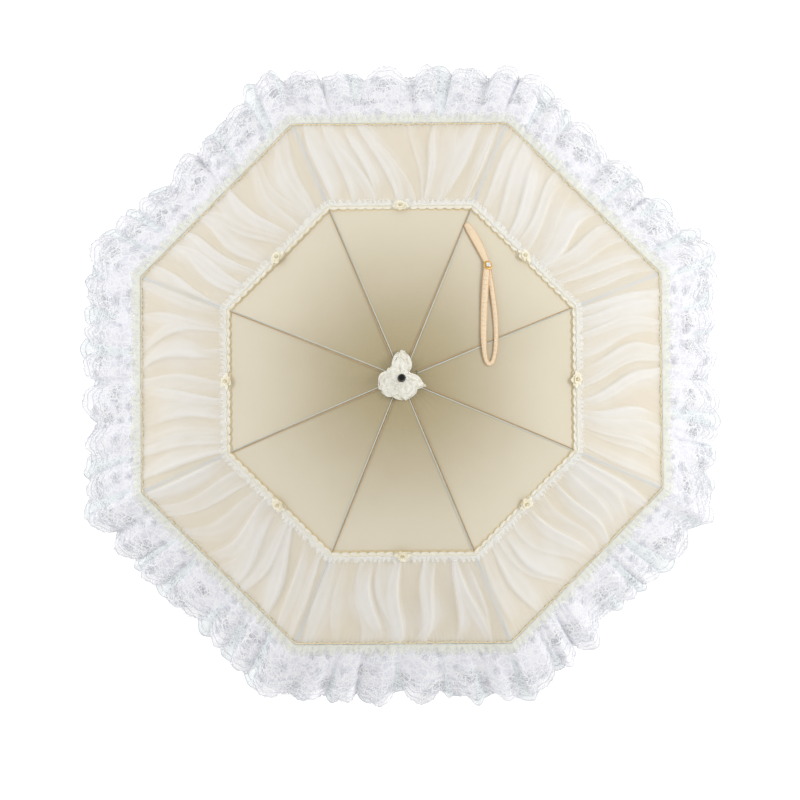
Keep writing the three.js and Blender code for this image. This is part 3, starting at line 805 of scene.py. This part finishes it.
def hem_trim(rib):
    """The narrow trim between the ruched band and the lace: two sheer frills from one stitched line."""
    across = columns(341)
    panel, u = panel_of(rib, across)
    t = np.linspace(0, 1, 12)[:, None]
    drift = waves(HEM_GATHERS * u + 0.5 * np.sin(2 * pi * 4 * u + panel))
    torn = 0.0016 * np.sin(2 * pi * 13 * u + 2 * waves(5 * u)) * hump(u)
    pieces = []
    for name, reach, rise in (("in", -0.0058 - torn, 0.0016), ("out", 0.025 + 3 * torn, 0.0030)):
        arc = HEM + 0.001 + t * reach
        lift = rise + 0.0012 * hump(t) + 0.0005 * drift[None, :] * (0.25 + t)
        fold = np.clip(0.95 - 0.95 * t + 0.15 * drift[None, :], 0, 1)
        points = canopy(rib, across[None, :], arc, lift)
        uv = cloth_uv(arc, across[None, :])
        pieces.append(grid(f"hem_frill_{name}_{rib + 1}", points, TRIM_FRILL, uv, {"fold": fold}))
    stitching = Parts()
    line = HEM - 0.0046 - torn + 0.0006 * waves(HEM_GATHERS * 1.5 * u)
    stitching.tube(canopy(rib, across, line, 0.0044), 0.0007, 5)
    pieces.append(stitching.make(f"hem_stitching_{rib + 1}", WARM_THREAD_AND_SHADOW))
    for piece in pieces:
        on_canopy(piece, rib)
    return pieces


ROSE_RINGS = (  # petals, from and to which radius, height and rise
    (6, 0.0012, 0.0094, 0.0004, 0.0022), (4, 0.0008, 0.0064, 0.0018, 0.0032))


def rose(rib):
    """A small ribbon rose: two rings of cupped petals round a wound heart, on two short ends of ribbon."""
    step = 0.003
    across, arc = 0.497, BRAID - 0.003
    centre, e1, e2, up = frame_on(canopy(
        rib, np.array([across, across + step, across]), np.array([arc, arc, arc + step]), 0.0042))
    parts = Parts()

    def add(x, y, z):
        x, y, z = np.broadcast_arrays(x, y, z)
        points = centre + x[..., None] * e1 + y[..., None] * e2 + z[..., None] * up
        parts.add(points, grid_faces(*x.shape))

    a = np.linspace(-1, 1, 13)[None, :]
    b = np.linspace(0, 1, 8)[:, None]
    for count, start, reach, base, rise in ROSE_RINGS:
        for k in range(count):
            angle = 2 * pi * (k + 0.37 * rib) / count + a * 0.92 * pi / count * (1.25 - 0.2 * b)
            size = 1 + 0.12 * sin(2.6 * k + rib)
            radius = start + (reach * size - start) * b * (1 - 0.20 * a**2)
            z = base + rise * b + 0.0005 * np.sin(3 * a + k) * b + 0.0004 * (k % 2) - 0.0012 * b**4
            add(radius * np.cos(angle), radius * np.sin(angle), z)
    turn = np.linspace(0, 2.4 * 2 * pi, 60)[None, :]
    b = np.linspace(0, 1, 4)[:, None]
    radius = 0.0005 + 0.0023 * turn / turn.max() + 0.0007 * b
    add(radius * np.cos(turn), radius * np.sin(turn), 0.0026 + 0.0026 * b - 0.0010 * turn / turn.max() * b)
    knot = centre + 0.0030 * up
    parts.tube(np.array([knot - 0.002 * up, knot, knot + 0.0012 * up]), [0.0016, 0.0018, 0.0006], 8)
    along = np.linspace(0, 1, 8)[None, :]
    wide = np.linspace(-1, 1, 5)[:, None]
    for side in (-1, 1):
        half = 0.0030 * hump(np.clip(along, 0.08, 0.95)) ** 0.6
        add(side * (0.003 + 0.0095 * along) + 0 * wide, wide * half + 0.0012 * along,
            0.0004 + 0.0016 * hump(along) * (1 - 0.6 * wide**2))
    return on_canopy(parts.make(f"ribbon_rose_{rib + 1}", ROSE_RIBBON), rib)


# ---- Crown rosette ----

ROSETTE_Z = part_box("notch")[1][2]
ROSETTE_UV = 2.2  # its lace is this much finer than the valance's
ROSETTE_PETALS = (  # direction, length, half width, how high it lies, how pointed
    (93, 0.040, 0.0150, 0.0000, 0.0), (207, 0.035, 0.0205, 0.0030, 0.0), (286, 0.031, 0.0190, 0.0048, 0.0),
    (-13, 0.036, 0.0150, 0.0036, 1.0), (150, 0.024, 0.0150, 0.0050, 0.0))


def rosette():
    """Gathered petals of ivory lace, and a ruffled collar that hides the ferrule's foot."""
    parts = Parts()
    b = np.linspace(0, 1, 30)[:, None]
    a = np.linspace(-1, 1, 41)[None, :]
    for number, (degrees, length, half, level, pointed) in enumerate(ROSETTE_PETALS):
        direction = radians(degrees)
        for layer in range(2):
            size = 1 - 0.22 * layer
            round_end = np.sqrt(np.clip(1 - b**4, 0, 1)) * (1 - pointed) + (1 - 0.93 * b**1.6) * pointed
            width = half * size * (0.30 + 0.70 * hump(b**0.8 * 0.72)) * round_end
            wavy = 1 + 0.045 * np.sin(7 * a + number + layer) * b
            x = 0.005 + (length * size - 0.005) * b * wavy * (1 - 0.06 * a**2)
            y = width * a * (1 + 0.06 * np.sin(7 * b + layer + number))
            crimp = 0.0013 * np.sin(9 * a + 2.1 * layer + number + 3 * b) * b
            z = 0.0015 + level + 0.0042 * layer + 0.0028 * hump(b) * (1 - a**2) + crimp
            z = z + 0.0060 * (1 - b) ** 2 - (0.0040 + level) * b**3 * (1 - 0.4 * layer)
            turn = direction + 0.15 * (layer - 0.5)
            points = np.stack(
                [x * cos(turn) - y * sin(turn), x * sin(turn) + y * cos(turn), ROSETTE_Z + z], axis=-1)
            parts.add(points, grid_faces(30, 41), ROSETTE_UV * np.stack([x, y], axis=-1))
            parts.tube(points[2:-1, 0], 0.0005, 4)
            parts.tube(points[2:-1, -1], 0.0005, 4)
            parts.tube(points[-2], 0.0005, 4)
    turn = np.linspace(0, 2 * pi, 145)[None, :]
    out = np.linspace(0, 1, 10)[:, None]
    for start, end, high, low in ((0.0057, 0.0140, 0.0158, 0.0105), (0.0060, 0.0105, 0.0168, 0.0142)):
        radius = start + (end - start) * out * (1 + 0.13 * np.sin(5 * turn + 100 * end))
        height = high + (low - high) * out**1.3 + 0.0010 * np.sin(11 * turn + 7 * out) * out
        points = np.stack([radius * np.cos(turn), radius * np.sin(turn), ROSETTE_Z + height], axis=-1)
        parts.add(points, grid_faces(10, 145), ROSETTE_UV * points[..., :2])
    piece = parts.make("crown_rosette", ROSETTE_LACE)
    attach(piece, "stick")
    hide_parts("rosette")


def spun(outline, segments):
    """The x, y and z grids of (radius, height) points turned about an axis."""
    turn = np.arange(segments) / segments * 2 * pi
    radius, height = np.array(outline, float).T[..., None]
    return radius * np.cos(turn), radius * np.sin(turn), height + 0 * turn


# ---- Tie strap ----

STRAP_RIB = 1
STRAP_LIFT = 0.0043
STRAP_SEWN = 0.246 * np.array([cos(radians(67.2)), sin(radians(67.2))])
STRAP_STONE = 0.2075 * np.array([cos(radians(52.6)), sin(radians(52.6))])
STRAP_END = 0.128 * np.array([cos(radians(7.2)), sin(radians(7.2))])


def over_canopy(x, y, lift):
    """Points at a height over the satin, from where they are seen from above."""
    middle = np.round(np.arctan2(y, x) / SPACING) * SPACING
    r = (x * np.cos(middle) + y * np.sin(middle)) / cos(HALF)
    slope = np.arcsin((r - PIVOT_R) / RIB_RADIUS + sin(START_SLOPE))
    z = PIVOT_Z - RIB_RADIUS * (cos(START_SLOPE) - np.cos(slope)) + lift / np.cos(slope)
    return np.stack([x, y, z], axis=-1)


def strap_plan(way_from, way_to, along, aside):
    """Points on the plan at shares along a straight way, shifted to its left by aside."""
    way = way_to - way_from
    side = np.array([-way[1], way[0]]) / np.linalg.norm(way)
    return way_from + np.asarray(along)[:, None] * way + np.asarray(aside)[:, None] * side


def smooth_path(points, count):
    """A soft curve through a few points, evenly spaced."""
    points = np.asarray(points, float)
    knots = np.arange(len(points))
    fine = np.linspace(0, len(points) - 1, 40 * len(points))
    curve = np.stack([np.interp(fine, knots, points[:, k]) for k in range(points.shape[1])], axis=1)
    for _ in range(600):
        curve[1:-1] = (curve[:-2] + 2 * curve[1:-1] + curve[2:]) / 4
    steps = np.concatenate([[0], np.cumsum(np.linalg.norm(np.diff(curve, axis=0), axis=1))])
    even = np.linspace(0, steps[-1], count)
    return np.stack([np.interp(even, steps, curve[:, k]) for k in range(points.shape[1])], axis=1)


def ribbon_over(plan, half, thick, rise):
    """The rings of a soft flat ribbon laid over the satin along a way on the plan."""
    ahead = np.gradient(plan, axis=0)
    ahead /= np.linalg.norm(ahead, axis=1, keepdims=True)
    side = np.stack([-ahead[:, 1], ahead[:, 0]], axis=1)
    share = np.linspace(-1, 1, 9)
    rings = []
    for s, top in [(s, 1) for s in share] + [(s, 0) for s in share[::-1]]:
        spot = plan + s * np.asarray(half)[:, None] * side
        high = STRAP_LIFT + rise + top * thick * (0.5 + 0.5 * cos(s * pi / 2))
        rings.append(over_canopy(spot[:, 0], spot[:, 1], high))
    return np.stack(rings, axis=1)


def ribbon_uv(rings):
    """Cloth coordinates round and along a ribbon's rings."""
    count, around = rings.shape[:2]
    run = np.linspace(0, 0.15, count)[:, None]
    return np.stack(np.broadcast_arrays(np.linspace(0, 0.013, around)[None, :], run), axis=-1)


# the loop's middle line: shares of the way from the stone to the tip, and shifts aside in metres
LOOP_OUT = ((0.00, 0.0010), (0.12, 0.0030), (0.30, 0.0066), (0.50, 0.0094), (0.70, 0.0100), (0.86, 0.0078))
LOOP_TIP = ((0.955, 0.0040), (0.972, -0.0006), (0.955, -0.0052))
LOOP_BACK = (
    (0.86, -0.0082), (0.70, -0.0090), (0.50, -0.0076), (0.30, -0.0056), (0.12, -0.0032), (0.00, -0.0010))


def tie_strap():
    """A satin ribbon sewn on the rib's seam, and the elastic loop that hangs from the stone."""
    count = 30
    t = np.linspace(0, 1, count)
    plan = strap_plan(STRAP_SEWN, STRAP_STONE, t, 0.0022 * hump(t))
    half = 0.0028 + 0.0030 * hump(t**0.7) ** 0.8
    parts = Parts()
    rings = ribbon_over(plan, half, 0.0024, 0.0)
    parts.skin(rings, ribbon_uv(rings))
    hem = Parts()
    for side in (-1, 1):
        edge = ribbon_over(plan, half, 0.0, 0.0009)[:, 0 if side < 0 else 8]
        hem.tube(edge, 0.0006, 5)
    stitches = Parts()
    for k in range(2, 8, 2):
        rings = ribbon_over(plan[k : k + 2], half[k : k + 2] * 0.6, 0.0, 0.0026)
        stitches.tube(rings[0, [0, 4, 8]], 0.0004, 4)

    way = np.array([*LOOP_OUT, *LOOP_TIP, *LOOP_BACK])
    loop = strap_plan(STRAP_STONE, STRAP_END, way[:, 0], way[:, 1])
    loop = smooth_path(loop, 220)
    going = np.linspace(0, 1, 220)
    half = 0.0030 + 0.0012 * smooth(going, 0.45, 0.7) + 0.0004 * np.sin(9 * going)
    lift = 0.0012 * smooth(going, 0.40, 0.60) + 0 * going
    rings = ribbon_over(loop, half, 0.0013, 0.0)
    rings[..., 2] += lift[:, None]
    parts.skin(rings, ribbon_uv(rings))
    flat = ribbon_over(loop, half, 0.0, 0.0008)
    flat[..., 2] += lift[:, None]
    for column in (0, 8):
        hem.tube(flat[:, column], 0.0005, 5)
    for k in range(8, 212, 5):
        stitches.tube(flat[k, 2:7] + np.array([0, 0, 0.0007]), 0.0007, 4)

    strap = parts.make("strap_ribbon", STRAP_SATIN, {"along": np.full(parts.count, 0.6)})
    on_canopy(strap, STRAP_RIB)
    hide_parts("tie_strap")
    edges = on_canopy(hem.make("strap_edges", STRAP_EDGE), STRAP_RIB)
    threads = on_canopy(stitches.make("strap_stitches", STITCH), STRAP_RIB)


def strap_stone():
    """A clear stone in a round gold setting with small claws."""
    centre = over_canopy(STRAP_STONE[0], STRAP_STONE[1], STRAP_LIFT + 0.0017)
    middle = round(atan2(STRAP_STONE[1], STRAP_STONE[0]) / SPACING) * SPACING
    ahead = over_canopy(STRAP_STONE[0] + 0.001 * cos(middle), STRAP_STONE[1] + 0.001 * sin(middle),
                        STRAP_LIFT + 0.0017)
    e2 = (ahead - centre) / np.linalg.norm(ahead - centre)
    e1 = np.array([-sin(middle), cos(middle), 0])
    up = np.cross(e2, e1)
    up = up if up[2] > 0 else -up
    low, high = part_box("strap_stone")
    outer = (high[0] - low[0]) / 2

    def turned_here(parts, outline, segments):
        x, y, z = (axis[..., None] for axis in spun(outline, segments))
        parts.add(centre + x * e1 + y * e2 + z * up, grid_faces(len(outline), segments, closed=True))

    gold = Parts()
    bowl = [
        (0.0004, 0.0), (outer - 0.001, 0.0), (outer, 0.0006), (outer, 0.0012), (outer - 0.0012, 0.0019),
        (outer - 0.0022, 0.0016), (outer - 0.0026, 0.0022), (0.0042, 0.0030), (0.0038, 0.0027),
        (0.0004, 0.0012)]
    turned_here(gold, bowl, 48)
    for k in range(16):
        angle = 2 * pi * k / 16
        bead = centre + (outer - 0.0017) * (cos(angle) * e1 + sin(angle) * e2) + 0.0022 * up
        gold.tube(np.array([bead - 0.0006 * up, bead, bead + 0.0005 * up]), [0.0005, 0.0008, 0.0003], 8)
    for k in range(4):
        angle = 2 * pi * (k + 0.5) / 4
        out = cos(angle) * e1 + sin(angle) * e2
        bends = ((0.0044, 0.002), (0.0042, 0.0036), (0.0032, 0.0043))
        claw = np.array([centre + r * out + h * up for r, h in bends])
        gold.tube(claw, [0.0005, 0.0005, 0.0004], 8)
    setting = gold.make("stone_setting", GOLD)
    on_canopy(setting, STRAP_RIB)
    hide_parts("strap_stone")

    gem = Parts()
    cut = [(0.0002, 0.0012), (0.0038, 0.0029), (0.0038, 0.0032), (0.0022, 0.0047), (0.0002, 0.0047)]
    turned_here(gem, cut, 8)
    stone = gem.make("clear_stone", STONE)
    stone.data.polygons.foreach_set("use_smooth", np.zeros(len(stone.data.polygons), dtype=bool))
    on_canopy(stone, STRAP_RIB)


# ---- Stick ----


def rounded(corners, radius=0.0006, steps=4):
    """An outline with each of its inner corners rounded off."""
    corners = [np.array(c, float) for c in corners]
    out = [corners[0]]
    for before, here, after in zip(corners, corners[1:], corners[2:]):
        first, second = before - here, after - here
        reach = min(radius, np.linalg.norm(first) / 2.1, np.linalg.norm(second) / 2.1)
        start = here + first / np.linalg.norm(first) * reach
        end = here + second / np.linalg.norm(second) * reach
        for k in range(steps + 1):
            t = k / steps
            out.append((1 - t) ** 2 * start + 2 * t * (1 - t) * here + t**2 * end)
    out.append(corners[-1])
    return out


def heights(node):
    """The heights that a CAD node starts and ends at."""
    low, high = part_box(node)
    return low[2], high[2]


def on_stick(name, outline, material, node):
    """An outline turned about the shaft, as a part of the stick in place of its CAD node."""
    segments = 72
    points = np.stack(spun(outline, segments), axis=-1)
    piece = mesh_object(name, points, grid_faces(len(outline), segments, closed=True), material)
    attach(piece, "stick")
    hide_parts(node)


def stick():
    """The ferrule's tip, the turned handle and the collar over it."""
    tip = 0.00005  # the outlines stop just off the axis
    bore = 0.0053
    base, top = heights("ferrule")
    outline = rounded([
        (bore, base), (0.007, base), (0.007, base + 0.010), (0.0056, base + 0.016), (0.0046, top - 0.008),
        (0.0046, top - 0.0015), (0.0036, top), (tip, top)])
    on_stick("ferrule_tip", outline, BLACK, "ferrule")

    _, top = heights("handle")
    shape = [
        (0.0115, 0), (0.0132, 0.0016), (0.0138, 0.008), (0.0126, 0.014), (0.0102, 0.018), (0.0096, 0.020),
        (0.0112, 0.022), (0.0112, 0.025), (0.0098, 0.027), (0.0106, 0.045), (0.0118, 0.070), (0.0116, 0.092),
        (0.0102, 0.112), (0.0088, 0.122), (0.0099, 0.125), (0.0099, 0.128), (0.0087, 0.131)]
    outline = rounded([(tip, 0), *shape, (0.0084, top), (bore, top), (bore, top - 0.004)], 0.003, 6)
    on_stick("turned_handle", outline, WOOD, "handle")

    base, top = heights("handle_collar")
    outline = rounded([
        (bore, base), (0.0084, base), (0.0089, base + 0.001), (0.0089, base + 0.003), (0.008, base + 0.004),
        (0.0072, top - 0.002), (0.0068, top), (bore, top)], 0.0008)
    on_stick("collar_ring", outline, STEEL, "handle_collar")


def runner_wire():
    """The wire ring that the stretchers' lower ends hang on."""
    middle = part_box("runner")[1][2] - 0.005
    turn = np.linspace(0, 2 * pi, 61)
    parts = Parts()
    ring = np.stack([PIVOT_R * np.cos(turn), PIVOT_R * np.sin(turn), middle + 0 * turn], axis=-1)
    parts.tube(ring, 0.0005, 6)
    piece = parts.make("runner_wire", STEEL)
    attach(piece, "runner")


def finish_cad_nodes():
    """Better materials on the CAD parts whose shape is already right."""
    wanted = {"shaft_tube": STEEL, "notch": BLACK, "notch_wire": STEEL, "runner": BLACK, "top_catch": STEEL,
              "bottom_catch": STEEL}
    for n in range(1, RIBS + 1):
        wanted.update({f"rib_{n}": STEEL, f"rib_tip_{n}": STEEL, f"stretcher_{n}": STEEL})
    for name, material in wanted.items():
        for slot in bpy.data.objects[name].material_slots:
            slot.material = material


# ---- Stage ----


def stage():
    n = Nodes("pale floor")
    speckle = n.noise(n.place(), 30, 3)
    colour = n.mix(n.times(speckle, 0.02), (0.93, 0.93, 0.93, 1), (0.86, 0.86, 0.86, 1))
    material = n.finish(
        Base_Color=colour, Roughness=0.9, Emission_Color=(1, 1, 1, 1), Emission_Strength=0.55)
    half = 6
    corners = [(-half, -half, 0), (half, -half, 0), (half, half, 0), (-half, half, 0)]
    floor = mesh_object("floor", corners, [(0, 1, 2, 3)], material)


def area_light(name, place, aim, size, watts, colour=(1, 1, 1)):
    data = bpy.data.lights.new(name, "AREA")
    data.shape = "DISK"
    data.size = size
    data.energy = watts
    data.color = colour
    light = bpy.data.objects.new(name, data)
    bpy.context.collection.objects.link(light)
    light.location = place
    toward = np.array(aim, float) - np.array(place, float)
    yaw = atan2(toward[1], toward[0])
    pitch = atan2(hypot(toward[0], toward[1]), -toward[2])
    light.rotation_euler = (pitch, 0, yaw - pi / 2)


def lights():
    world = bpy.data.worlds.new("studio")
    bpy.context.scene.world = world
    world.use_nodes = True
    tree = world.node_tree
    tree.nodes.clear()
    coordinates = tree.nodes.new("ShaderNodeTexCoord")
    split = tree.nodes.new("ShaderNodeSeparateXYZ")
    ramp = tree.nodes.new("ShaderNodeMapRange")
    background = tree.nodes.new("ShaderNodeBackground")
    output = tree.nodes.new("ShaderNodeOutputWorld")
    for name, value in (("From Min", 0.15), ("From Max", 1.0), ("To Min", 1.23), ("To Max", 0.55)):
        ramp.inputs[name].default_value = value
    tree.links.new(coordinates.outputs["Generated"], split.inputs[0])
    tree.links.new(split.outputs["Z"], ramp.inputs["Value"])
    tree.links.new(ramp.outputs["Result"], background.inputs["Strength"])
    tree.links.new(background.outputs[0], output.inputs["Surface"])
    area_light("key", (2.4, 0.35, 2.4), (0, 0, 0.7), 1.2, 26, (1, 1, 0.99))
    area_light("fill", (-2.4, 0.7, 2.2), (0, 0, 0.7), 2.0, 20, (0.99, 0.99, 1))
    bpy.context.scene.view_settings.view_transform = "Standard"


# ---- The parasol ----

for rib in range(RIBS):
    on_satin = [*inner_braid(rib), rose(rib)]
    on_band = hem_trim(rib)
    # on the satin, the brown welt is a painted shadow and the grey welt a painted reflection
    for side, name, material in ((1, "brown", SEAM_PAINTED_SHADOW), (-1, "grey", SEAM_PAINTED_REFLECTION)):
        on_satin.append(seam(
            rib, f"seam_{name}", side, material, CROWN + 0.008, BRAID - 0.004, 0.0003))
        on_band.append(seam(
            rib, f"band_seam_{name}", side, SEAM_BLUE, BRAID + 0.004, HEM - 0.004, 0.0016))
    satin_gore(rib)
    ruched_band(rib)
    upper = lace_layer(0, rib, [lace_cords(rib), lace_flowers(rib)])
    lace_layer(1, rib)
    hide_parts(f"lace_valance_{rib + 1}")
rosette()
tie_strap()
strap_stone()
stick()
runner_wire()
finish_cad_nodes()
stage()
lights()
